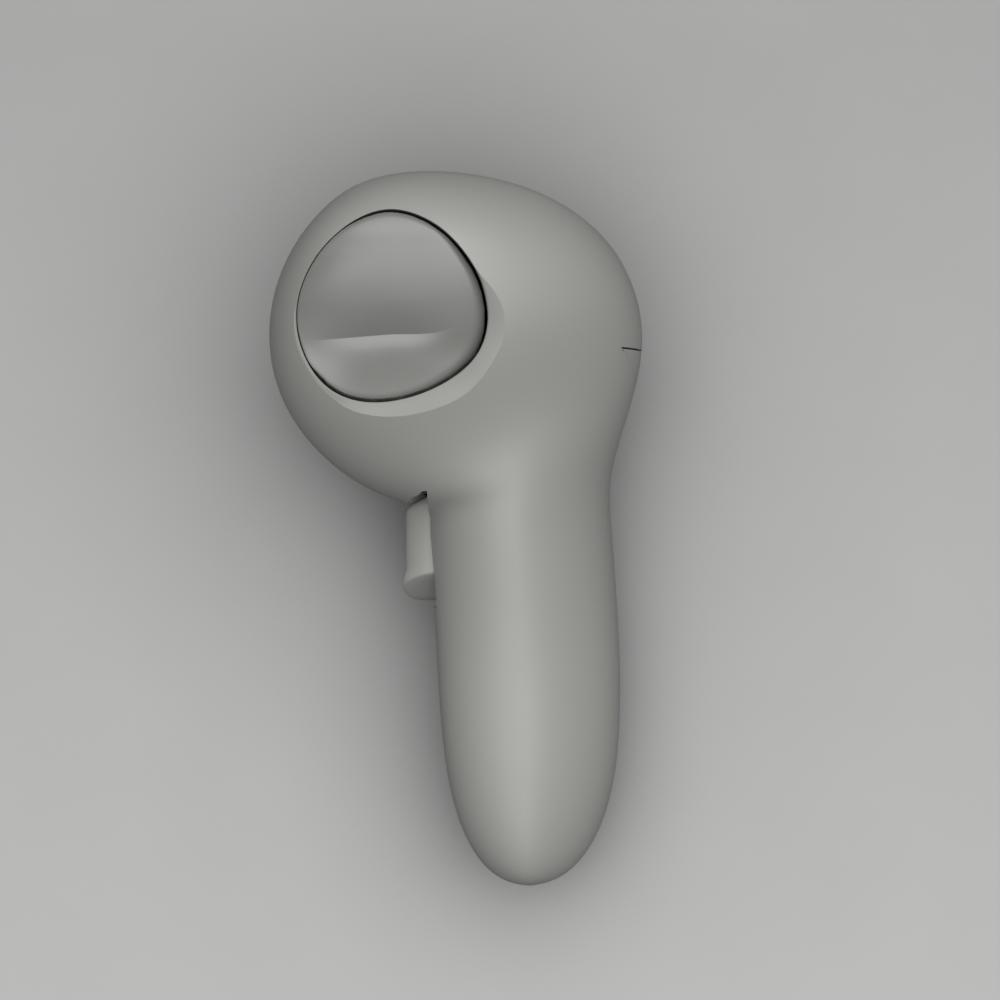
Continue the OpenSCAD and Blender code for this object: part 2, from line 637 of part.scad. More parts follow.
module stick_cradle() color("gray") stick_frame() translate([0, 0, stick_pz]) difference() {
  translate([-6, -6, -1.9]) cube([12, 12, 3.4]);
  translate([-4.8, -4.8, -5]) cube([9.6, 9.6, 10]);
  rotate([0, 90, 0]) translate([0, 0, -10]) cylinder(r = 0.9, h = 20);
}

module stick_yoke() color("silver") stick_frame() translate([0, 0, stick_pz]) difference() {
  union() {
    translate([-4.3, -4.3, -1.2]) cube([8.6, 8.6, 2.4]);
    rotate([0, 90, 0]) translate([0, 0, -5.8]) cylinder(r = 0.85, h = 11.6);
  }
  translate([0, 0, -5]) cylinder(r = 2.8, h = 10);
  rotate([90, 0, 0]) translate([0, 0, -10]) cylinder(r = 0.7, h = 20);
}

module stick_shaft() color("silver") stick_frame() translate([0, 0, stick_pz]) {
  translate([0, 0, -1.2]) cylinder(r = 1.6, h = -stick_pz + 3.4);
  rotate([90, 0, 0]) translate([0, 0, -4.2]) cylinder(r = 0.65, h = 8.4);
}

module thumbstick_cap() color("black") stick_frame() difference() {
  rotate_extrude() polygon([[0, -3], [3, -3], [3, 2.9], [stick_r - 0.8, 3.9], [stick_r, 4.6], [stick_r, 5.8],
    [stick_r - 0.9, 6.8], [stick_r - 2.2, 6.6], [3, 5.8], [0, 5.6]]);
  translate([0, 0, -5]) cylinder(r = 1.6 + seat, h = 5 + 2.3);
}

module stick_boot() color("black") stick_frame() translate([0, 0, stick_pz]) rotate_extrude() intersection() {
  difference() {
    circle(8.5);
    circle(7.7);
  }
  polygon([[3.05, 3], [20, 20 / tan(52)], [20, 30], [3.05, 30]]);
}

front_shell();
back_shell();
face_plate();
battery_cover();
battery_tray();
battery_cell();
battery_spring();
battery_contact();
haptic_motor();
led_strip();
tracking_leds();
lanyard_bush();
trigger();
trigger_pin();
trigger_magnet();
trigger_spring();
grip_lever();
grip_pin();
grip_magnet();
grip_spring();
head_frame();
main_board();
board_chips();
board_screws();
button_switches();
light_pipe();
upper_button();
lower_button();
menu_button();
stick_module();
stick_cradle();
stick_yoke();
stick_shaft();
stick_boot();
thumbstick_cap();
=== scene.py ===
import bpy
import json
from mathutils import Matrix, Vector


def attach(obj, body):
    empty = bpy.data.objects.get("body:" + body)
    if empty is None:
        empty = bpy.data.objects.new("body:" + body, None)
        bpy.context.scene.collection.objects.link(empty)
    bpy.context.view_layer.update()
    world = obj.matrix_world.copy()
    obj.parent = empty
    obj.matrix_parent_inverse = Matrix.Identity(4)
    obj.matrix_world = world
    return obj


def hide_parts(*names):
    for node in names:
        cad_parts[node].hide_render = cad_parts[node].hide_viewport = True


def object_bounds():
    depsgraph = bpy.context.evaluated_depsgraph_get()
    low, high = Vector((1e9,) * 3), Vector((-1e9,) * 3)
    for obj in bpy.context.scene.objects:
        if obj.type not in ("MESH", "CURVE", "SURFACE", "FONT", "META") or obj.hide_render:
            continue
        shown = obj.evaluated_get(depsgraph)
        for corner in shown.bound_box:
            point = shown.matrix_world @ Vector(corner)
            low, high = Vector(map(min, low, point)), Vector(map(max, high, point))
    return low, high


bl_info = {
    "name": "Motion Controller Wand",
    "version": (1, 0, 0),
    "blender": (4, 5, 0),
    "location": "View3D > Sidebar > Wand",
    "description": "Dresses the packed frame of a motion controller wand with its moulded skin and finishes",
    "category": "Add Mesh",
}

import json
import math

import bpy
import numpy as np
from bpy.props import FloatProperty, FloatVectorProperty, PointerProperty
from bpy.types import Operator, Panel, PropertyGroup
from mathutils import Matrix, Vector

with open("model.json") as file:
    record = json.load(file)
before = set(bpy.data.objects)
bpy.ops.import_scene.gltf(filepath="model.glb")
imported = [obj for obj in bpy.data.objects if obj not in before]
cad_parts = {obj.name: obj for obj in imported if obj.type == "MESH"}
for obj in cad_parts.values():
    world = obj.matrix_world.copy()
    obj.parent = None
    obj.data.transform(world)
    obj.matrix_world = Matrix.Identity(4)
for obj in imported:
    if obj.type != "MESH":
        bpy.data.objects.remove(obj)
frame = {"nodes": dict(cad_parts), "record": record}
CAD_BOX = [list(corner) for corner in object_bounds()]
MM = 0.001

# housing: fixed proportions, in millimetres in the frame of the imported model
BODY_LEN = 126.0
TAIL_Y = -BODY_LEN / 2
TAIL_FULL = 2.3
TAIL_ANGLES = (0, 14, 28, 42, 56, 72, 90)
BOW_R = 530.0
BOW_FROM_TAIL = 17.0
BELLY_SAG = 0.4
FLAT_SOFT = 0.4
CROWN = 0.4
MIDDLE_DIP = 1.0
HEAD_FORWARD = 1.3
HEAD_DROOP = 2.4
FRONT_FULL = 2.2
BACK_FULL = 2.8
# handle sections: place between the tail and the head, rise of the front, back
HANDLE_SECTIONS = ((0.3, 1.2, 0), (0.59, 3.2, 0.5), (0.79, 4.7, 0.7), (0.94, 5.8, 0.7))
# rise of the left and right ends over the middle, place of the crest, upright shares of the two sides
HANDLE_ENDS = (3.5, -3.0)
HANDLE_CREST = 0.44
HANDLE_UPRIGHT = (0.8, 0.45)
# head sections: angles of the left and right ends round the plan outline, heights of these ends,
# front below the top, back, place of the crest, upright shares of the two sides
HEAD_SECTIONS = (
    (260, -41, 19, 14, 19.5, 0.5, 0.45, 0.85, 0.5),
    (254, -30, 20.2, 16.5, 18.4, 0.2, 0.46, 0.92, 0.55),
    (243, -17, 22.6, 20, 16.6, -0.3, 0.47, 1, 0.62),
    (228, 0, 25, 23.5, 11.6, -0.8, 0.47, 1, 0.7),
    (209, 19, 26.8, 26, 3.4, -1.2, 0.47, 1, 0.75),
    (191, 41, 28, 28, 0, -1, 0.47, 1, 0.78),
    (172, 66, 29, 29, 0.6, 2, 0.48, 1, 0.85),
    (154, 91, 30.5, 30.5, 5, 6, 0.49, 1, 0.92),
    (139, 109, 32, 32, 11.5, 14, 0.5, 1, 1),
    (128, 119, 33, 33, 18, 24, 0.5, 1, 1),
    (124, 124, 33.5, 33.5, 24.9, 33.5, 0.5, 1, 1))
# the neck takes the right ends of the first head sections: past the handle's side, from the head's centre
NECK_ENDS = ((-2.7, -25.5), (-1.3, -19))
PART_Z = 13.0
COVER_X = -0.4
COVER_HALF_W = 9.5
COVER_Y = (-52.0, 2.0)
COVER_R = 6.0
COVER_CUT = 12.0
LANYARD_AT = (-54.4, 9.3)
LANYARD_R = 2.85

# trigger: outline as angle and share of its radius, then places across (u) and up (v) from its middle
TRIGGER_SHAPE = (
    (90, 1.02), (62, 0.96), (38, 0.93), (14, 0.98), (-10, 1.04),
    (-32, 1.05), (-56, 0.97), (-80, 0.97), (-104, 1.05), (-126, 1.12),
    (-148, 1.09), (-172, 1.05), (164, 0.98), (140, 0.94), (114, 0.96))
TRIGGER_FROM_HEAD = (-8.3, 4.2)
SPLINE_STRETCH = 1.02
TRIGGER_HALF = 15.0
TRIGGER_DROP = 2.0
TRIGGER_WALL = 2.4
CREASE_V = -4.75
CREASE_SLANT = 0.075
CREASE_RISE = 0.00011
ROW_RISE = 0.00006
DOME_V = 11.0
DOME_SLOPE = 0.2
DOME_BEND = 0.0135
DOME_BROW = 0.1
DOME_END_SLOPE = 0.625
PLATE_TURN = 5.0
LIP_RISE = 0.7
LIP_REACH = 6.0
LIP_SLANT = 0.2
# rim of the trigger's opening: drop below the top of the head, lean across and up, bend across and up, twist
RIM_DROP = 0.7
RIM_LEAN = (0.032, 0.311)
RIM_BEND = (-0.019, -0.028, 0.013)
RAMP = 1.7

# grip lever
GRIP_Y = 5.0
GRIP_Z = 18.0
GRIP_DEPTH = 9.0
GRIP_PLAY = 0.4

# thumb face: places across and up from its middle, heights along its outward direction
FACE_OUT = 15.5
STICK_AT = (-5.5, 4.5)
STICK_PIVOT = -9.5
STICK_R = 7.6
UPPER_AT = (10.5, 5.5)
LOWER_AT = (9.0, -6.5)
MENU_AT = (-3.0, -12.5)
LIGHT_AT = (3.5, -15.5)
LIGHT_HOLE_R = 0.8
BUTTON_R = 4.6
MENU_R = 2.6
BUTTON_PLAY = 0.3
BOARD_Z = -14.0
SWITCH_H = 1.5
SWITCH_PLAY = 0.15

# stage, in metres and watts, with the lens in millimetres
FLOOR_SIZE = 4.0
LAMP_AT = (0.08, 0.16, 1.1)
LAMP_SIZE = 2.4
LAMP_POWER = 28.0
ROOM_LIGHT = 0.02
CAMERA_AT = (0.00755, 0.0061, 0.5)
SENSOR = 36.0
LENS = 97.3


class WandSizes(PropertyGroup):
    """Sizes of the moulded pieces"""
    head_r: FloatProperty(name="Head radius", description="Plan radius on the trigger side", default=0.031,
                          unit="LENGTH")
    shoulder_r: FloatProperty(name="Shoulder radius", description="Plan radius on the palm side",
                              default=0.029, unit="LENGTH")
    shoulder_dx: FloatProperty(name="Shoulder offset", description="Distance of the two plan centres",
                               default=0.0062, unit="LENGTH")
    head_h: FloatProperty(name="Head height", description="Height of the front of the head", default=0.058,
                          unit="LENGTH")
    handle_w: FloatProperty(name="Handle width", description="Greatest width of the handle", default=0.0328,
                            unit="LENGTH")
    handle_h: FloatProperty(name="Handle height", description="Height of the front of the handle",
                            default=0.032, unit="LENGTH")
    tail_len: FloatProperty(name="Tail length", description="Length of the rounded tail", default=0.036,
                            unit="LENGTH")
    handle_x: FloatProperty(name="Handle offset", description="Handle axis to the right of the middle",
                            default=0.0133, unit="LENGTH")
    wall: FloatProperty(name="Wall", description="Wall of the moulded shells", default=0.002, unit="LENGTH")
    seam: FloatProperty(name="Seam", description="Gap between neighbouring shells", default=0.0003,
                        unit="LENGTH")
    trigger_r: FloatProperty(name="Trigger radius", description="Mean radius of the trigger", default=0.0152,
                             unit="LENGTH")
    trigger_gap: FloatProperty(name="Trigger gap", description="Gap round the trigger", default=0.00055,
                               unit="LENGTH")
    face_tilt: FloatProperty(name="Face lean", description="Lean of the thumb face from upright",
                             default=math.radians(37.5), subtype="ANGLE")
    face_r: FloatProperty(name="Face radius", description="Radius of the face plate", default=0.0215,
                          unit="LENGTH")
    face_soft: FloatProperty(name="Face edge", description="Rounding where the face meets the head",
                             default=0.006, unit="LENGTH")


class WandColours(PropertyGroup):
    """Colours of the finishes"""
    shell: FloatVectorProperty(name="Shell", description="Moulded housing", subtype="COLOR", size=3,
                               default=(0.345, 0.348, 0.328), min=0, max=1)
    face: FloatVectorProperty(name="Face", description="Thumb face", subtype="COLOR", size=3,
                              default=(0.385, 0.389, 0.368), min=0, max=1)
    button: FloatVectorProperty(name="Buttons", description="Push buttons", subtype="COLOR", size=3,
                                default=(0.30, 0.30, 0.295), min=0, max=1)
    rubber: FloatVectorProperty(name="Rubber", description="Thumbstick cap and boot", subtype="COLOR", size=3,
                                default=(0.035, 0.035, 0.037), min=0, max=1)
    floor: FloatVectorProperty(name="Floor", description="Floor under the wand", subtype="COLOR", size=3,
                               default=(0.45, 0.45, 0.446), min=0, max=1)


def size(name):
    """A size of the panel in millimetres."""
    return getattr(bpy.context.scene.wand_sizes, name) / MM


def colour(name):
    """A colour of the panel."""
    return tuple(getattr(bpy.context.scene.wand_colours, name))


def mix(start, end, share):
    return start + (end - start) * share


def signed_power(value, power):
    return np.sign(value) * np.abs(value) ** power


def soft_min(a, b, width):
    """The smaller of two values, with a rounded change from one to the other."""
    h = np.maximum(width - np.abs(a - b), 0) / width
    return np.minimum(a, b) - h * h * width / 4


def smooth_step(start, end, value):
    t = np.clip((value - start) / (end - start), 0, 1)
    return t * t * (3 - 2 * t)


def spline(rows, at, closed=False):
    """Cubic B-spline over rows of values, at places counted in rows."""
    last = len(rows) - 1
    i = np.floor(at).astype(int)
    if closed:
        near = [(i + k) % len(rows) for k in (-1, 0, 1, 2)]
    else:
        i = np.minimum(i, last - 1)
        near = [np.clip(i + k, 0, last) for k in (-1, 0, 1, 2)]
    t = (at - i)[:, None]
    before, start, end, after = (rows[k] for k in near)
    return ((1 - t) ** 3 * before + (3 * t ** 3 - 6 * t * t + 4) * start
            + (-3 * t ** 3 + 3 * t * t + 3 * t + 1) * end + t ** 3 * after) / 6


def head_centre():
    head_r, shoulder_r = size("head_r"), size("shoulder_r")
    x = -(head_r + size("shoulder_dx") + shoulder_r) / 2 + head_r
    return x, BODY_LEN / 2 - (head_r + shoulder_r) / 2 + HEAD_FORWARD


def head_outline(angle, inset):
    """A point of the head's plan outline, an egg with two radii."""
    x, y = head_centre()
    a = math.radians(angle)
    palm = (1 + math.cos(a)) / 2
    r = mix(size("head_r"), size("shoulder_r"), palm) - inset
    return x + size("shoulder_dx") * palm + r * math.cos(a), y + r * math.sin(a)


def axis_x(y):
    """The handle axis bows slightly to the palm side."""
    return size("handle_x") - (y - TAIL_Y - BOW_FROM_TAIL) ** 2 / (2 * BOW_R)


def middle_z(height):
    """Height of the middle of a section, a little under half way up."""
    return height / 2 - MIDDLE_DIP


def handle_row(y, half_w, share, front, back):
    """One section of the handle; its ends lie at different heights, and its front leans in on both sides."""
    x, z = axis_x(y), middle_z(size("handle_h"))
    left_rise, right_rise = HANDLE_ENDS
    return [x - half_w, y, x + half_w, y, z + left_rise * share, z + right_rise * share, front, back,
            HANDLE_CREST, *HANDLE_UPRIGHT]


def tail_rows(inset):
    """Sections of the rounded tail."""
    half_w, h, length = size("handle_w") / 2, size("handle_h"), size("tail_len")
    rows = []
    for angle in TAIL_ANGLES:
        a = math.radians(angle)
        wide = math.sin(a) ** (2 / TAIL_FULL)
        tall = wide ** 0.6
        rest = 0.0 if angle == 90 else math.cos(a) ** (2 / TAIL_FULL)
        y = TAIL_Y + inset + (length - inset) * (1 - rest)
        front = mix(middle_z(h), h - inset, tall)
        back = mix(middle_z(h), inset - BELLY_SAG, tall)
        rows.append(handle_row(y, (half_w - inset) * wide, wide, front, back))
    return rows


def head_rows(inset):
    """Sections of the head, fanned round from the neck to the thumb face."""
    rows = []
    for i, (left, right, left_z, right_z, drop, back, *form) in enumerate(HEAD_SECTIONS):
        left_end, right_end = head_outline(left, inset), head_outline(right, inset)
        if i < len(NECK_ENDS):
            past, below = NECK_ENDS[i]
            right_end = (size("handle_x") + size("handle_w") / 2 + past - inset, head_centre()[1] + below)
        wall = inset if i < len(HEAD_SECTIONS) - 1 else 0
        front = size("head_h") + CROWN - drop - wall
        rows.append([*left_end, *right_end, left_z, right_z, front, back + wall, *form])
    return rows


def body_rows(inset):
    """Sections of the housing from the tail to the head, drawn in by an inset."""
    rows = tail_rows(inset)
    half_w = size("handle_w") / 2 - inset
    for share, rise, back in HANDLE_SECTIONS:
        y = mix(TAIL_Y + size("tail_len"), head_centre()[1] - size("head_r"), share)
        rows.append(handle_row(y, half_w, 1, size("handle_h") + rise - inset, back + inset))
    rows += head_rows(inset)
    return np.array([rows[0]] + rows + [rows[-1]])


def section_points(sections, angles):
    """Rounded sections, fuller at the back; in front the sides lean in by what isn't upright."""
    (left_x, left_y, right_x, right_y, left_z, right_z, front, back, crest,
     left_upright, right_upright) = sections.T[:, :, None]
    across, up = np.cos(angles)[None, :], np.sin(angles)[None, :]
    power = 2 / np.where(up >= 0, FRONT_FULL, BACK_FULL)
    across, up = signed_power(across, power), signed_power(up, power)
    right = across >= 0
    upright = np.where(up < 0, 1, np.where(right, right_upright, left_upright))
    reach = upright * np.abs(across) + (1 - upright) * (1 - up * up)
    x = mix(mix(left_x, right_x, crest), np.where(right, right_x, left_x), reach)
    y = mix(mix(left_y, right_y, crest), np.where(right, right_y, left_y), reach)
    z = mix(np.where(right, right_z, left_z), np.where(up >= 0, front, back), np.abs(up))
    return np.stack([x, y, z], axis=-1)


def body_points(inset, rings, segments):
    """Grid of points of the housing, its rings evenly apart, from the tail to the head."""
    rows = body_rows(inset)
    fine = np.linspace(0, len(rows) - 1, 4000)
    probe = section_points(spline(rows, fine), np.radians(np.arange(0, 360, 45)))
    step = np.linalg.norm(np.diff(probe, axis=0), axis=2).max(axis=1)
    run = np.concatenate([[0], np.cumsum(step)])
    at = np.interp(np.linspace(0, run[-1], rings + 1), run, fine)
    return section_points(spline(rows, at), 2 * np.pi * np.arange(segments) / segments)


def face_axes():
    """Middle, across, up and outward directions of the thumb face."""
    tilt = bpy.context.scene.wand_sizes.face_tilt
    x, y = head_centre()
    middle = (x, y + FACE_OUT * math.cos(tilt), middle_z(size("head_h")) - FACE_OUT * math.sin(tilt))
    up = (0, math.sin(tilt), math.cos(tilt))
    out = (0, math.cos(tilt), -math.sin(tilt))
    return np.array(middle), np.array((-1.0, 0, 0)), np.array(up), np.array(out)


def at_face(place, height=0.0):
    middle, across, up, out = face_axes()
    return middle + place[0] * across + place[1] * up + height * out


def face_matrix(place=(0, 0), height=0.0):
    """Matrix that takes a lathed piece from Z to the face's outward direction, in metres."""
    _, across, up, out = face_axes()
    matrix = Matrix((tuple(across), tuple(up), tuple(out))).transposed().to_4x4()
    matrix.translation = Vector(at_face(place, height)) * MM
    return matrix


def trigger_outline(radius, count):
    """Outline of the trigger round its middle, turning left."""
    angle, share = np.array(TRIGGER_SHAPE).T
    angle = np.radians(angle)
    points = radius * SPLINE_STRETCH * share[:, None] * np.stack([np.cos(angle), np.sin(angle)], axis=1)
    return spline(points, len(points) * (1 - np.arange(count) / count), closed=True)


def trigger_points(u, v, z):
    x, y = head_centre()
    return np.stack([x + TRIGGER_FROM_HEAD[0] + u, y + TRIGGER_FROM_HEAD[1] + v, z], axis=-1)


def rim_at(u, v):
    """Height of the rim that the trigger's opening is cut to."""
    lean_u, lean_v = RIM_LEAN
    bend_u, bend_v, twist = RIM_BEND
    flat = size("head_h") - RIM_DROP + lean_u * u + lean_v * v
    return flat + bend_u * u * u + bend_v * v * v + twist * u * v


def trigger_crease(u, rise):
    """Curved line where the dome of the trigger meets its lip, above its middle."""
    return CREASE_SLANT * np.minimum(u, 0) + rise * np.maximum(u, 0) ** 4


def dome_fall(u, v):
    """Fall of the trigger's front from its top: a dome that steepens to the crease and turns into a plate."""
    down = DOME_V - v
    length = DOME_V - CREASE_V
    dome = DOME_SLOPE * np.minimum(down, length) + DOME_BROW * np.minimum(down, 0) ** 2
    dome = dome + DOME_BEND * np.clip(down, 0, length) ** 2
    past = np.maximum(down - length, 0)
    x = np.minimum(past / PLATE_TURN, 1)
    turn = past - PLATE_TURN * (x ** 3 - x ** 4 / 2) - np.maximum(past - PLATE_TURN, 0)
    plate_slope = mix(0.42, 0.32, smooth_step(5, 13, -u))
    return dome + plate_slope * past + (DOME_END_SLOPE - plate_slope) * turn


def lip_relief(u, v):
    """Small step of the lip: sunk above the crease, raised below it, and gone towards the sides."""
    below = trigger_crease(u, CREASE_RISE) + CREASE_V - v
    low = np.maximum(below, 0)
    raised = (2 * LIP_RISE * np.tanh(low / 2.1) - LIP_RISE) * np.exp(-(low / LIP_REACH) ** 2)
    sunk = -LIP_RISE * np.clip(1 + np.minimum(below, 0) / LIP_REACH, 0, 1) ** 2
    return np.where(below > 0, raised, sunk) * (1 - smooth_step(2, 13, np.abs(u + 1.5)))


def side_fall(u, v):
    """How the trigger's front rounds off to its sides, most at the upper left."""
    lower = smooth_step(-14, 2, v)
    fall = 2.2 * lower + 2 * smooth_step(0, 8, v) + 1.3 * smooth_step(8, 13, v)
    left = 0.05 * u * lower - fall * np.abs(u / TRIGGER_HALF) ** mix(3.2, 2.0, smooth_step(2, 10, v))
    return np.where(u < 0, left, -0.8 * (u / TRIGGER_HALF) ** 2)


def trigger_front(u, v):
    """Height of the trigger's front."""
    return size("head_h") - TRIGGER_DROP - dome_fall(u, v) + lip_relief(u, v) + side_fall(u, v)


def trigger_lean(v):
    """Lean of the trigger's sides; only the lower ones lean, against the swing."""
    return LIP_SLANT * np.clip((4 - v) / 8, 0, 1)


def deselect():
    if bpy.context.object is not None and bpy.context.object.mode != "OBJECT":
        bpy.ops.object.mode_set(mode="OBJECT")
    bpy.ops.object.select_all(action="DESELECT")


def pick(piece):
    deselect()
    piece.select_set(True)
    bpy.context.view_layer.objects.active = piece


def named(name):
    """The piece just added, with its name."""
    piece = bpy.context.object
    piece.name = name
    piece.data.name = name
    return piece


def face_outwards(piece):
    pick(piece)
    bpy.ops.object.mode_set(mode="EDIT")
    bpy.ops.mesh.select_all(action="SELECT")
    bpy.ops.mesh.normals_make_consistent(inside=False)
    bpy.ops.object.mode_set(mode="OBJECT")
    return piece


def shaped_ball(name, grid):
    """A ball whose rings are moved onto rows of points in millimetres; its first and last rings close."""
    rings, segments = grid.shape[0] - 1, grid.shape[1]
    deselect()
    bpy.ops.mesh.primitive_uv_sphere_add(segments=segments, ring_count=rings, radius=1)
    piece = named(name)
    places = np.empty(len(piece.data.vertices) * 3)
    piece.data.vertices.foreach_get("co", places)
    x, y, z = places.reshape(-1, 3).T
    ring = np.rint(np.arccos(np.clip(z, -1, 1)) / np.pi * rings).astype(int)
    segment = np.rint(np.arctan2(y, x) / (2 * np.pi) * segments).astype(int) % segments
    places = grid[ring, segment]
    for end in (0, rings):
        places[ring == end] = grid[end].mean(axis=0)
    piece.data.vertices.foreach_set("co", (places * MM).ravel())
    piece.data.update()
    return face_outwards(piece)


def lathe(name, profile, segments, matrix, wave=None):
    """A turned piece: a ball whose rings follow a profile of radius and height in millimetres."""
    profile = np.array(profile, float)
    a = 2 * np.pi * np.arange(segments) / segments
    r = np.repeat(profile[:, :1], segments, axis=1)
    if wave is not None:
        r = r * wave(np.arange(len(profile))[:, None], a[None, :])
    height = np.repeat(profile[:, 1:], segments, axis=1)
    piece = shaped_ball(name, np.stack([r * np.cos(a), r * np.sin(a), height], axis=-1))
    piece.data.transform(matrix)
    piece.data.update()
    return face_outwards(piece)


def prism(name, outline, run):
    """An outline of points in millimetres, drawn out along a direction."""
    outline = np.array(outline, float)
    deselect()
    bpy.ops.mesh.primitive_circle_add(vertices=len(outline), radius=1, fill_type="NGON")
    piece = named(name)
    piece.data.vertices.foreach_set("co", (outline * MM).ravel())
    piece.data.update()
    bpy.ops.object.mode_set(mode="EDIT")
    bpy.ops.mesh.select_all(action="SELECT")
    bpy.ops.mesh.extrude_region_move(TRANSFORM_OT_translate={"value": tuple(np.array(run) * MM)})
    bpy.ops.object.mode_set(mode="OBJECT")
    return face_outwards(piece)


def rod(name, radius, start, end, vertices=64):
    """A round cutter between two points in millimetres."""
    a, b = Vector(start) * MM, Vector(end) * MM
    deselect()
    bpy.ops.mesh.primitive_cylinder_add(vertices=vertices, radius=radius * MM, depth=(b - a).length)
    piece = named(name)
    turn = (b - a).to_track_quat("Z", "Y").to_matrix().to_4x4()
    piece.data.transform(Matrix.Translation((a + b) / 2) @ turn)
    return piece


def carve(piece, cutter, operation="DIFFERENCE"):
    """Cuts a piece with another one, which is used up."""
    pick(piece)
    bpy.ops.object.modifier_add(type="BOOLEAN")
    step = piece.modifiers[-1]
    step.operation = operation
    step.solver = "MANIFOLD"
    step.object = cutter
    bpy.ops.object.modifier_apply(modifier=step.name)
    if not piece.data.polygons:
        raise RuntimeError("nothing is left of " + piece.name)
    bpy.data.objects.remove(cutter)
    return piece


def copy_of(piece, name):
    pick(piece)
    bpy.ops.object.duplicate(linked=False)
    return named(name)


def hand_over(piece, body, slot, material, *nodes):
    """Smooth shading, a finish and a body to ride on."""
    pick(piece)
    piece.data.materials.clear()
    piece.data.materials.append(material)
    bpy.ops.object.shade_smooth_by_angle(angle=math.radians(35))
    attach(piece, body)
    if nodes:
        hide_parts(*nodes)
    return piece


def add_node(tree, kind, x, y, sockets=None, **settings):
    """A shader node at its place, with its settings and the values of its sockets."""
    node = tree.nodes.new(kind)
    node.location = (x, y)
    for key, value in settings.items():
        setattr(node, key, value)
    for key, value in (sockets or {}).items():
        node.inputs[key].default_value = value
    return node


def map_range(tree, x, y, source, target):
    """A node that takes one range of values to another."""
    ends = dict(zip(("From Min", "From Max", "To Min", "To Max"), (*source, *target)))
    return add_node(tree, "ShaderNodeMapRange", x, y, ends)


def moulded_grain():
    """Shared effect: fine spark-eroded grain and slow unevenness of a moulded plastic skin."""
    group = bpy.data.node_groups.get("moulded_grain")
    if group:
        return group
    group = bpy.data.node_groups.new("moulded_grain", "ShaderNodeTree")
    noises = (("Grain Scale", 2600.0, "Height", {"Detail": 3, "Roughness": 0.6}, 250),
              ("Smudge Scale", 55.0, "Smudge", {"Detail": 4}, 0))
    for scale, default, output, _, _ in noises:
        socket = group.interface.new_socket(scale, in_out="INPUT", socket_type="NodeSocketFloat")
        socket.default_value = default
        group.interface.new_socket(output, in_out="OUTPUT", socket_type="NodeSocketFloat")
    inputs = add_node(group, "NodeGroupInput", -700, 0)
    outputs = add_node(group, "NodeGroupOutput", 100, 0)
    place = add_node(group, "ShaderNodeTexCoord", -700, 300)
    link = group.links.new
    for scale, _, output, sockets, y in noises:
        noise = add_node(group, "ShaderNodeTexNoise", -350, y, sockets)
        link(place.outputs["Object"], noise.inputs["Vector"])
        link(inputs.outputs[scale], noise.inputs["Scale"])
        link(noise.outputs["Fac"], outputs.inputs[output])
    return group


def finish(name, base, roughness, metallic=0.0, grain=2600.0, bump=0.06, uneven=0.05, specular=0.5):
    """A material with its own values of the shared grain."""
    material = bpy.data.materials.get(name)
    if material:
        return material
    material = bpy.data.materials.new(name)
    material.use_nodes = True
    tree = material.node_tree
    tree.nodes.clear()
    out = add_node(tree, "ShaderNodeOutputMaterial", 700, 0)
    shader = add_node(tree, "ShaderNodeBsdfPrincipled", 350, 0,
                      {"Metallic": metallic, "Specular IOR Level": specular}, name="shader")
    effect = add_node(tree, "ShaderNodeGroup", -600, 0, {"Grain Scale": grain}, node_tree=moulded_grain())
    pale, dark = ((*[c * level for c in base], 1) for level in (1 + uneven, 1 - uneven))
    tint = add_node(tree, "ShaderNodeMix", -150, 200, {"A": pale, "B": dark}, data_type="RGBA", name="tint")
    rough = map_range(tree, -150, -100, (0.3, 0.7), (roughness - 0.06, roughness + 0.06))
    dent = add_node(tree, "ShaderNodeBump", 100, -300, {"Strength": bump, "Distance": 0.0002})
    link = tree.links.new
    link(effect.outputs["Smudge"], tint.inputs["Factor"])
    link(tint.outputs["Result"], shader.inputs["Base Color"])
    link(effect.outputs["Smudge"], rough.inputs["Value"])
    link(rough.outputs["Result"], shader.inputs["Roughness"])
    link(effect.outputs["Height"], dent.inputs["Height"])
    link(dent.outputs["Normal"], shader.inputs["Normal"])
    link(shader.outputs["BSDF"], out.inputs["Surface"])
    return material


def shell_plastic():
    return finish("shell_plastic", colour("shell"), 0.48, uneven=0.012, specular=0.6)


def trigger_plastic():
    """The plastic of the shells, glossier, with its colour darkened as painted shade."""
    # the lower colour stands in for the shade on the trigger's dome; it is not a darker plastic
    return finish("trigger_plastic", [0.62 * c for c in colour("shell")], 0.38, uneven=0.012, specular=1.0)


def face_plastic():
    return finish("face_plastic", colour("face"), 0.42, grain=3600, bump=0.03, uneven=0.02)


def button_plastic():
    return finish("button_plastic", colour("button"), 0.38, grain=3600, bump=0.02, uneven=0.03)


def stick_rubber():
    return finish("stick_rubber", colour("rubber"), 0.62, grain=4200, bump=0.12, uneven=0.08)


def whole_body():
    """The housing before it is cut: the outside with a soft edge round the face and small flats to lie on."""
    grid = body_points(inset=0, rings=210, segments=176)
    # the far end of the head droops, only on its upper side
    droop = HEAD_DROOP * np.clip((grid[..., 1] - 48) / 15, 0, 1) ** 2
    grid[..., 2] -= droop * smooth_step(34, 50, grid[..., 2])
    middle, _, _, out = face_axes()
    height = (grid - middle) @ out
    grid = grid + (soft_min(height, 0.0, size("face_soft")) - height)[..., None] * out
    grid[..., 2] = -soft_min(-grid[..., 2], 0.0, FLAT_SOFT)
    low, high = np.array(CAD_BOX) / MM
    return shaped_ball("hollow_body", np.clip(grid, low, high))


def body_hollow():
    """The inside of the housing, with a collar left standing round the trigger."""
    wall = size("wall")
    grid = body_points(inset=wall, rings=110, segments=96)
    middle, _, _, out = face_axes()
    height = (grid - middle) @ out
    grid = grid + (np.minimum(height, -wall) - height)[..., None] * out
    return carve(shaped_ball("hollow_cutter", grid), trigger_well("collar", wall, low=0.6, depth=3.0))


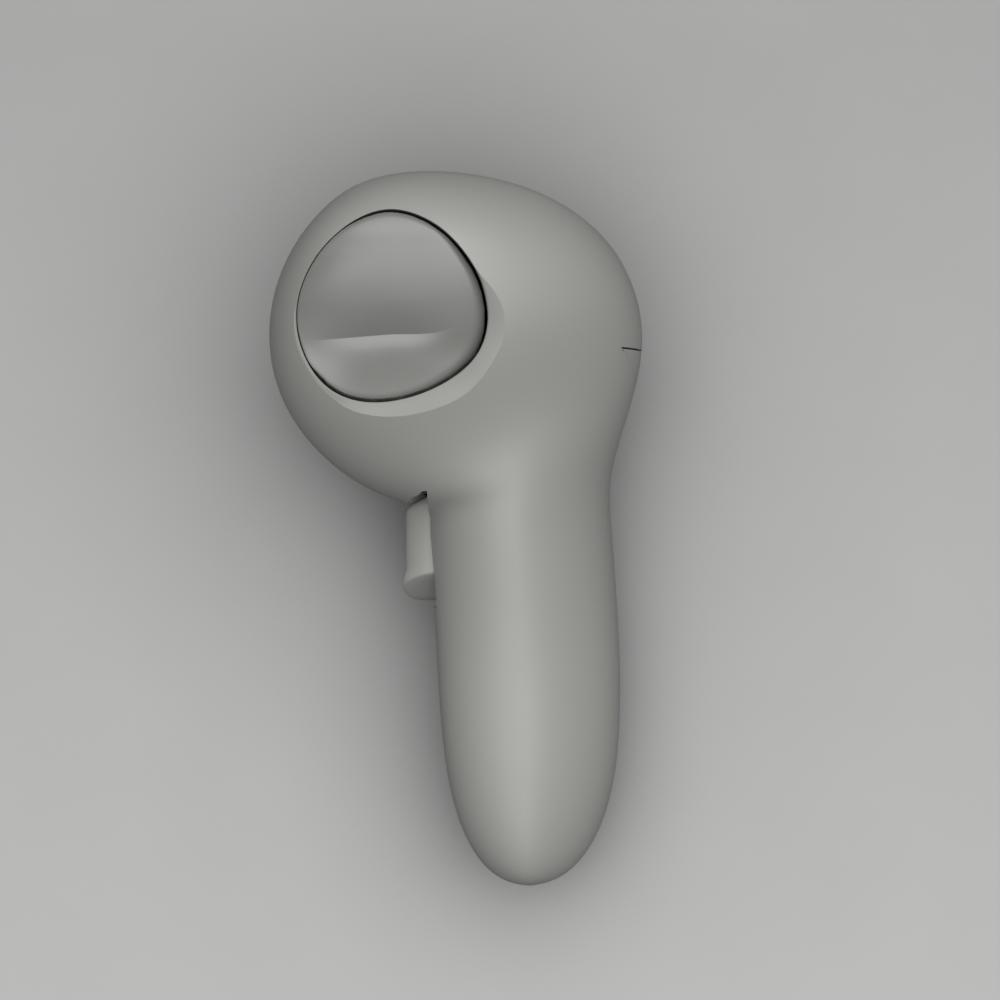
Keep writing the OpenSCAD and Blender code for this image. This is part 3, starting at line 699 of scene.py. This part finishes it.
def trigger_well(name, wall=0.0, low=0.0, depth=14.0):
    """A slanted well with a rounded lip and a ramp up to the skin of the head."""
    radius, count = size("trigger_r") + size("trigger_gap") + wall, 200
    u, v = trigger_outline(radius, count).T
    turn = np.degrees(np.arctan2(v, u))
    palm = smooth_step(0.3, 0.9, np.cos(np.radians(turn)))
    # the rim stands higher on the palm side, most at its lower corner, and lies flush at the left
    rim = rim_at(u, v) + 0.5 * palm + 1.2 * np.exp(-((turn + 32) / 18) ** 2)
    flush = np.minimum(rim, trigger_front(u, v) + 0.3)
    rim = mix(rim, flush, smooth_step(3, 9, -u)) - low
    # the ramp is wider on the palm side and narrower at the lower left
    ramp = RAMP + 1.1 * palm - 0.9 * smooth_step(100, 125, -turn)
    # distance out from the opening and height over the rim: ramp, rounded lip, then the upright wall
    profile = [(0, 12), (0, 6), (0, 3), (0, 1), (0.34, 0.2), (0.17, 0.06), (0.05, -0.08), (0, -0.25),
               (0, -depth), (0, -depth)]
    rings = []
    for i, (out, height) in enumerate(profile):
        ring = trigger_outline(radius + out, count) * (0 if i in (0, len(profile) - 1) else 1)
        if i in (1, 2, 3):
            ring = ring * (1 + ramp * height / np.hypot(ring[:, 0], ring[:, 1]))[:, None]
        slant = LIP_SLANT if height > 0 else trigger_lean(v)
        rings.append(trigger_points(ring[:, 0], ring[:, 1] + slant * height, rim + height))
    return shaped_ball(name, np.array(rings)[:, ::-1])


def back_space(name, gap):
    """Space of the back shell: behind the parting line, with a spike up the palm side of the head."""
    x, y = head_centre()
    tail = TAIL_Y - 20
    side = [(tail, -9), (y - 2 + gap, -9), (y - 2 + gap, PART_Z + 22 + gap), (y - 8, PART_Z + 10 + gap),
            (y - 15, PART_Z + 4 + gap), (y - 28, PART_Z + gap), (tail, PART_Z + gap)]
    plan = [(-50, tail), (50, tail), (50, y - 4.4 + gap), (x + 16, y + 0.6 + gap), (x - 4, y - 27 + gap),
            (-50, y - 29 + gap)]
    space = prism(name, [(-60, a, b) for a, b in side], (120, 0, 0))
    return carve(space, prism("plan_cutter", [(a, b, -10) for a, b in plan], (0, 0, 60)), "INTERSECT")


def cover_space(name, inset):
    """Space of the battery cover, with rounded corners."""
    x, r = size("handle_x") + COVER_X, COVER_R - inset
    left, right = x - COVER_HALF_W + COVER_R, x + COVER_HALF_W - COVER_R
    low, high = COVER_Y[0] + COVER_R, COVER_Y[1] - COVER_R
    outline = []
    for corner_x, corner_y, start in ((right, high, 0), (left, high, 90), (left, low, 180), (right, low, 270)):
        for a in np.radians(start + np.linspace(0, 90, 13)):
            outline.append((corner_x + r * math.cos(a), corner_y + r * math.sin(a), -1))
    return prism(name, outline, (0, 0, COVER_CUT))


def lanyard_cutter():
    return rod("lanyard_cutter", LANYARD_R, (-5, *LANYARD_AT), (35, *LANYARD_AT))


def lever_wall():
    """Side of the handle at the lever."""
    return axis_x(0) - size("handle_w") / 2


def lever_slot():
    """Slot that the lever swings in."""
    x = lever_wall()
    low = GRIP_Z - GRIP_DEPTH / 2 - GRIP_PLAY
    outline = [(x - 5.4, GRIP_Y - 18), (x + 5.8, GRIP_Y - 18), (x + 5.8, GRIP_Y + 2.8),
               (x - 0.6, GRIP_Y + 2.8), (x - 5.4, GRIP_Y + 1.0)]
    return prism("slot_cutter", [(a, b, low) for a, b in outline], (0, 0, GRIP_DEPTH + 2 * GRIP_PLAY))


def lever_notch():
    """Notch in the head over the lever's upper end."""
    x = lever_wall()
    outline = [(x - 7, 0), (x + 0.1, 0), (x + 0.1, GRIP_Y + 2.6), (x - 0.8, GRIP_Y + 2.6),
               (x - 1.5, GRIP_Y + 2.0), (x - 2.8, GRIP_Y + 1.4), (x - 4.1, GRIP_Y + 0.2), (x - 7, GRIP_Y - 1)]
    return prism("notch_cutter", [(a, b, GRIP_Z) for a, b in outline], (0, 0, 26))


class WAND_OT_shells(Operator):
    """Front shell, back shell and battery cover, cut from one hollow body"""
    bl_idname = "wand.shells"
    bl_label = "Shells"

    def execute(self, context):
        seam = size("seam")
        body = carve(whole_body(), body_hollow())
        cover = copy_of(body, "cover_skin")
        carve(cover, cover_space("cover_cutter", seam), "INTERSECT")
        back = copy_of(body, "back_skin")
        carve(back, back_space("back_cutter", -seam / 2), "INTERSECT")
        carve(back, cover_space("cover_opening", 0))
        carve(back, lanyard_cutter())
        front = body
        front.name = front.data.name = "front_skin"
        carve(front, back_space("front_cutter", seam / 2))
        carve(front, trigger_well("well_cutter"))
        carve(front, lever_slot())
        carve(front, lever_notch())
        face_hole = size("face_r") + seam / 2
        carve(front, rod("face_cutter", face_hole, at_face((0, 0), -3), at_face((0, 0), 4), 160))
        carve(front, lanyard_cutter())
        hand_over(front, "housing", "shell", shell_plastic(), "front_shell")
        hand_over(back, "housing", "shell", shell_plastic(), "back_shell")
        hand_over(cover, "battery_cover", "shell", shell_plastic(), "battery_cover")
        return {"FINISHED"}


def trigger_rows(edge):
    """Places across and up on rows that follow the crease, close together near it, and end on the outline."""
    height = edge[:, 1] - trigger_crease(edge[:, 0], ROW_RISE)
    edge, height = np.roll(edge, -height.argmax(), axis=0), np.roll(height, -height.argmax())
    edge, height = np.append(edge, edge[:1], axis=0), np.append(height, height[0])
    low = height.argmin()
    middle, half = (height[0] + height[low]) / 2, (height[0] - height[low]) / 2
    rows = np.concatenate([middle + half * np.cos(np.linspace(0, np.pi, 110)), np.linspace(-7.0, -4.0, 50)])
    rows = np.unique(np.round(rows, 4))
    one = np.interp(rows, height[low::-1], edge[low::-1, 0])
    other = np.interp(rows, height[low:], edge[low:, 0])
    share = (1 - np.cos(np.linspace(0, np.pi, 90))) / 2
    u = mix(np.minimum(one, other)[:, None], np.maximum(one, other)[:, None], share[None, :])
    return u, rows[:, None] + trigger_crease(u, ROW_RISE)


class WAND_OT_trigger(Operator):
    """Index trigger: domed cap with a finger valley and a lip"""
    bl_idname = "wand.trigger"
    bl_label = "Trigger"

    def execute(self, context):
        edge = trigger_outline(size("trigger_r"), 720)
        # the left side fills more of its opening
        turn = np.degrees(np.arctan2(edge[:, 1], edge[:, 0])) % 360
        fuller = 0.024 * smooth_step(100, 130, turn) * (1 - smooth_step(212, 226, turn))
        edge = edge * (1 + fuller)[:, None]
        u, v = trigger_rows(edge)
        # the front rounds over at its edge, widest on the palm side and least at the left
        gap = np.stack([np.hypot(u - x, v - y) for x, y in edge]).min(axis=0)
        palm, left = np.clip(u / TRIGGER_HALF, 0, 1), smooth_step(5, 12, -u)
        shoulder = mix(0.9, 0.5, left) + 1.5 * palm ** 2
        bend = np.clip(1 - gap / shoulder, 0, 1)
        top = trigger_front(u, v)
        front = top - (mix(0.4, 0.15, left) + palm) * (1 - np.sqrt(1 - bend ** 2))
        # behind it a skirt goes down round the edge, and the rest is a plain wall
        foot = np.minimum(top - TRIGGER_WALL, rim_at(u, v)) - TRIGGER_WALL
        inside = smooth_step(1.5, 2.1, gap)
        back = mix(foot, top - TRIGGER_WALL, inside)
        slant = trigger_lean(v) * (foot - top) * (1 - inside)
        under = trigger_points(u, v + slant, back)[:, ::-1]
        piece = shaped_ball("trigger_cap", np.concatenate([trigger_points(u, v, front), under], axis=1))
        hand_over(piece, "trigger", "shell", trigger_plastic(), "trigger")
        return {"FINISHED"}


def lever_ring(share):
    """One ring of the lever, at a share of the way from its hinge to its free end."""
    wall_x = lever_wall()
    inside, outside = wall_x + 3.2, wall_x - 4.2
    a = 2 * np.pi * np.arange(96) / 96
    power = 2 / np.where(np.cos(a) < 0, 2.4, 12.0)
    across, up = signed_power(np.cos(a), power), signed_power(np.sin(a), power)
    # it tucks in under the head, flares before its free end and has a small rounded edge there
    tuck = math.sqrt(max(0.0, 1 - (1 - min(share / 0.1, 1)) ** 2))
    flare = 0.5 * float(smooth_step(0.76, 0.93, np.array(share)))
    edge = 0.35 * (1 - math.sqrt(max(0.0, 1 - max(0.0, (share - 0.975) / 0.025) ** 2)))
    left = mix(wall_x - 2.6, outside, tuck) - flare + edge
    x = (left + inside) / 2 + (inside - left) / 2 * across
    # its front leans down to the outside
    half_z = (GRIP_DEPTH / 2 - edge) * mix(0.86, 1, tuck)
    z = GRIP_Z + half_z * up - 0.4 * np.clip(wall_x + 1 - x, 0, 6) * np.maximum(up, 0)
    start = GRIP_Y + 0.1 + np.clip((x - outside) * 0.42, 0, 1.9)
    end = GRIP_Y - 17.1 + (z - GRIP_Z + GRIP_DEPTH / 2) * 0.6
    return np.stack([x, mix(start, end, share), z], axis=-1)


class WAND_OT_grip(Operator):
    """Side lever for the middle finger"""
    bl_idname = "wand.grip"
    bl_label = "Grip lever"

    def execute(self, context):
        # rings lie close together at the two rounded ends
        runs = ((0, 0.12, 10), (0.13, 0.97, 50), (0.975, 1, 8))
        shares = np.concatenate([np.linspace(*run) for run in runs])
        rings = [lever_ring(share) for share in shares]
        first, last = rings[0], rings[-1]
        rings = [mix(first.mean(axis=0), first, part) for part in (0, 0.5)] + rings
        rings += [mix(last.mean(axis=0), last, part) for part in (0.6, 0.3, 0)]
        piece = shaped_ball("grip_pad", np.array(rings))
        hand_over(piece, "grip_lever", "shell", shell_plastic(), "grip_lever")
        return {"FINISHED"}


def face_plate():
    """Round plate with a rounded rim, a dished well for the stick and softened holes."""
    r = size("face_r") - size("seam") / 2
    profile = [(0, -2), (r - 0.1, -2), (r, -1.9), (r, -0.45), (r - 0.08, -0.2), (r - 0.22, -0.06),
               (r - 0.45, 0), (r - 1, 0), (r - 4, 0), (0, 0)]
    plate = lathe("face_skin", profile, 180, face_matrix())
    well = [(0, -6), (10.2, -6), (10.2, -1.1), (10.35, -0.75), (10.75, -0.35), (11.3, -0.08), (11.8, 0.0),
            (12.2, 0.05), (12.2, 2), (0, 2)]
    carve(plate, lathe("well_of_stick", well, 128, face_matrix(STICK_AT)))
    for at, hole_r in ((UPPER_AT, BUTTON_R + BUTTON_PLAY), (LOWER_AT, BUTTON_R + BUTTON_PLAY),
                       (MENU_AT, MENU_R + BUTTON_PLAY), (LIGHT_AT, LIGHT_HOLE_R)):
        hole = [(0, -6), (hole_r, -6), (hole_r, -0.3), (hole_r + 0.08, -0.12), (hole_r + 0.3, 0.02),
                (hole_r + 0.3, 2), (0, 2)]
        carve(plate, lathe("hole_cutter", hole, 96, face_matrix(at)))
    return plate


def button_profile(r, top, press):
    """A push button from the foot over its switch to its domed top, with a flange that keeps it in."""
    foot = BOARD_Z + SWITCH_H + press + SWITCH_PLAY
    stem = [(0, foot), (1.2, foot), (1.2, -3.5)]
    flange = [(r + 0.7, -3.5), (r + 0.7, -2.35), (r, -2.35), (r, top - 1.2)]
    edge = [(r * 0.86 + r * 0.14 * math.sin(b), top - 0.185 - 0.6 * (1 - math.cos(b)))
            for b in np.linspace(0.2, math.pi / 2, 8)]
    dome = [(r * f, top - 0.25 * f * f) for f in np.linspace(0, 0.86, 12)]
    return stem + flange + edge[::-1] + dome[::-1]


class WAND_OT_face(Operator):
    """Thumb face with its holes, and its buttons"""
    bl_idname = "wand.face"
    bl_label = "Thumb face"

    def execute(self, context):
        hand_over(face_plate(), "housing", "face", face_plastic(), "face_plate")
        for name, at, radius, top, press in (("upper_button", UPPER_AT, BUTTON_R, 1.7, 1),
                                             ("lower_button", LOWER_AT, BUTTON_R, 1.7, 1),
                                             ("menu_button", MENU_AT, MENU_R, 0.6, 0.5)):
            piece = lathe(name + "_cap", button_profile(radius, top, press), 96, face_matrix(at))
            hand_over(piece, name, "button", button_plastic(), name)
        return {"FINISHED"}


def stick_knurl(ring, angle):
    """Fine grooves round the rim of the stick's cap."""
    return 1 - 0.012 * ((ring > 6) & (ring < 12)) * (0.5 + 0.5 * np.cos(48 * angle))


def stick_cap():
    """Mushroom cap with a dished top."""
    r = STICK_R
    stem = [(0, -3), (2.6, -3), (3, -2.6), (3, 2.2), (3.4, 2.9), (4.6, 3.4)]
    rim = [(r - 0.9, 3.85), (r - 0.25, 4.15), (r, 4.6), (r, 5.1), (r, 5.7), (r - 0.2, 6.2), (r - 0.6, 6.6),
           (r - 1.1, 6.8), (r - 1.6, 6.75), (r - 2.1, 6.5), (r - 2.6, 6.15)]
    dish = [(4.2, 5.9), (3, 5.7), (1.5, 5.6), (0, 5.6)]
    return lathe("stick_cap", stem + rim + dish, 384, face_matrix(STICK_AT), stick_knurl)


def dust_boot():
    """Slightly rippled skirt round the stick's pivot."""
    angles = np.radians(np.linspace(52, 21, 26))
    outer = [(8.5 * math.sin(b), 8.5 * math.cos(b) + 0.12 * math.sin(9 * b)) for b in angles]
    inner = [(7.7 * math.sin(b), 7.7 * math.cos(b)) for b in angles[::-1]]
    profile = [(0, inner[0][1])] + inner + outer + [(0, outer[-1][1])]
    return lathe("dust_boot", profile, 120, face_matrix(STICK_AT, STICK_PIVOT))


class WAND_OT_stick(Operator):
    """Thumbstick: rubber cap with a knurled rim, and its dust boot"""
    bl_idname = "wand.stick"
    bl_label = "Thumbstick"

    def execute(self, context):
        hand_over(stick_cap(), "stick", "grip_rubber", stick_rubber(), "thumbstick_cap")
        hand_over(dust_boot(), "stick", "grip_rubber", stick_rubber(), "stick_boot")
        return {"FINISHED"}


class WAND_OT_inner_finishes(Operator):
    """Finishes of the pieces inside, which keep their own solids"""
    bl_idname = "wand.inner_finishes"
    bl_label = "Inner finishes"

    def execute(self, context):
        coats = {
            "inner_plastic": finish("inner_plastic", (0.03, 0.03, 0.033), 0.5, uneven=0.08),
            "steel": finish("bright_steel", (0.55, 0.55, 0.55), 0.3, metallic=1.0, bump=0.02),
            "magnet": finish("plated_magnet", (0.5, 0.5, 0.52), 0.2, metallic=1.0, bump=0.01),
            "board": finish("lacquered_board", (0.02, 0.09, 0.04), 0.35, grain=1200, bump=0.05, uneven=0.12),
            "chip": finish("chip_resin", (0.015, 0.015, 0.016), 0.45, uneven=0.1),
            "cell_can": finish("cell_sleeve", (0.10, 0.11, 0.13), 0.3, metallic=0.4, bump=0.01),
            "trim": finish("bush_plastic", (0.28, 0.28, 0.275), 0.45, uneven=0.03),
            "lens": finish("milky_lens", (0.75, 0.77, 0.77), 0.2, bump=0.0, uneven=0.02),
        }
        slots = {row["node"]: row["material_slot"] for row in frame["record"]["subparts"]}
        for node, piece in frame["nodes"].items():
            coat = coats.get(slots[node])
            if coat is not None:
                piece.data.materials.clear()
                piece.data.materials.append(coat)
        return {"FINISHED"}


def floor_paper():
    """Pale paper, duller to the light it throws back, with painted shade towards the head's end and a painted
    shadow close to the wand.
    """
    paper = finish("pale_floor", colour("floor"), 0.9, grain=900, bump=0.05, uneven=0.02, specular=0.1)
    tree = paper.node_tree
    link = tree.links.new
    seen = add_node(tree, "ShaderNodeLightPath", -900, 600)
    place = add_node(tree, "ShaderNodeTexCoord", -900, 300)
    split = add_node(tree, "ShaderNodeSeparateXYZ", -700, 300)
    near = add_node(tree, "ShaderNodeAmbientOcclusion", -700, 100, {"Distance": 0.06})
    link(place.outputs["Object"], split.inputs["Vector"])
    levels = []
    # levels: duller to bounced light, painted shade towards the head's end, painted shadow close under the
    # wand
    for source, span, shades in ((seen.outputs["Is Camera Ray"], (0, 1), (0.4, 1)),
                                 (split.outputs["Y"], (-0.09, 0.09), (1.06, 0.82)),
                                 (near.outputs["AO"], (0.3, 1), (0.6, 1))):
        level = map_range(tree, -500, 600 - 250 * len(levels), span, shades)
        link(source, level.inputs["Value"])
        levels.append(level.outputs["Result"])
    product = levels[0]
    for level in levels[1:]:
        both = add_node(tree, "ShaderNodeMath", -300, 400, operation="MULTIPLY")
        link(product, both.inputs[0])
        link(level, both.inputs[1])
        product = both.outputs["Value"]
    shade = add_node(tree, "ShaderNodeMix", 100, 300, {"Factor": 1}, data_type="RGBA", blend_type="MULTIPLY")
    link(tree.nodes["tint"].outputs["Result"], shade.inputs["A"])
    link(product, shade.inputs["B"])
    link(shade.outputs["Result"], tree.nodes["shader"].inputs["Base Color"])
    return paper


def light_the_room(scene):
    """A near-dark room with one large soft panel over the wand."""
    room = bpy.data.worlds.new("soft_room")
    scene.world = room
    room.use_nodes = True
    back = room.node_tree.nodes["Background"]
    back.inputs["Color"].default_value = (0.98, 0.99, 1.0, 1)
    back.inputs["Strength"].default_value = ROOM_LIGHT
    lamp = bpy.data.lights.new("ceiling_panel", "AREA")
    lamp.shape = "DISK"
    lamp.size = LAMP_SIZE
    lamp.energy = LAMP_POWER
    panel = bpy.data.objects.new("ceiling_panel", lamp)
    panel.location = LAMP_AT
    panel.rotation_euler = (-panel.location).to_track_quat("-Z", "Y").to_euler()
    scene.collection.objects.link(panel)


def set_camera(scene):
    lens = bpy.data.cameras.new("camera")
    lens.sensor_width = SENSOR
    lens.lens = LENS
    lens.clip_start = 0.01
    camera = bpy.data.objects.new("camera", lens)
    camera.location = CAMERA_AT
    scene.collection.objects.link(camera)
    scene.camera = camera


class WAND_OT_stage(Operator):
    """Floor, soft light and the camera straight above"""
    bl_idname = "wand.stage"
    bl_label = "Stage"

    def execute(self, context):
        deselect()
        bpy.ops.mesh.primitive_grid_add(x_subdivisions=2, y_subdivisions=2, size=FLOOR_SIZE)
        floor = named("floor")
        floor.data.materials.append(floor_paper())
        light_the_room(context.scene)
        set_camera(context.scene)
        context.scene.view_settings.view_transform = "Standard"
        return {"FINISHED"}


class WAND_PT_panel(Panel):
    """Sizes, colours and building steps of the wand"""
    bl_label = "Wand"
    bl_space_type = "VIEW_3D"
    bl_region_type = "UI"
    bl_category = "Wand"

    def draw(self, context):
        for group in (context.scene.wand_sizes, context.scene.wand_colours):
            box = self.layout.box()
            for key in type(group).__annotations__:
                box.prop(group, key)
        for step in OPERATORS:
            self.layout.operator(step.bl_idname)


OPERATORS = (WAND_OT_stage, WAND_OT_shells, WAND_OT_trigger, WAND_OT_grip, WAND_OT_face, WAND_OT_stick,
             WAND_OT_inner_finishes)
CLASSES = (WandSizes, WandColours) + OPERATORS + (WAND_PT_panel,)


def register():
    for cls in CLASSES:
        bpy.utils.register_class(cls)
    bpy.types.Scene.wand_sizes = PointerProperty(type=WandSizes)
    bpy.types.Scene.wand_colours = PointerProperty(type=WandColours)


def unregister():
    del bpy.types.Scene.wand_colours
    del bpy.types.Scene.wand_sizes
    for cls in reversed(CLASSES):
        bpy.utils.unregister_class(cls)


def main():
    register()
    bpy.ops.wand.stage()
    bpy.ops.wand.shells()
    bpy.ops.wand.trigger()
    bpy.ops.wand.grip()
    bpy.ops.wand.face()
    bpy.ops.wand.stick()
    bpy.ops.wand.inner_finishes()
    deselect()


if __name__ == "__main__":
    main()
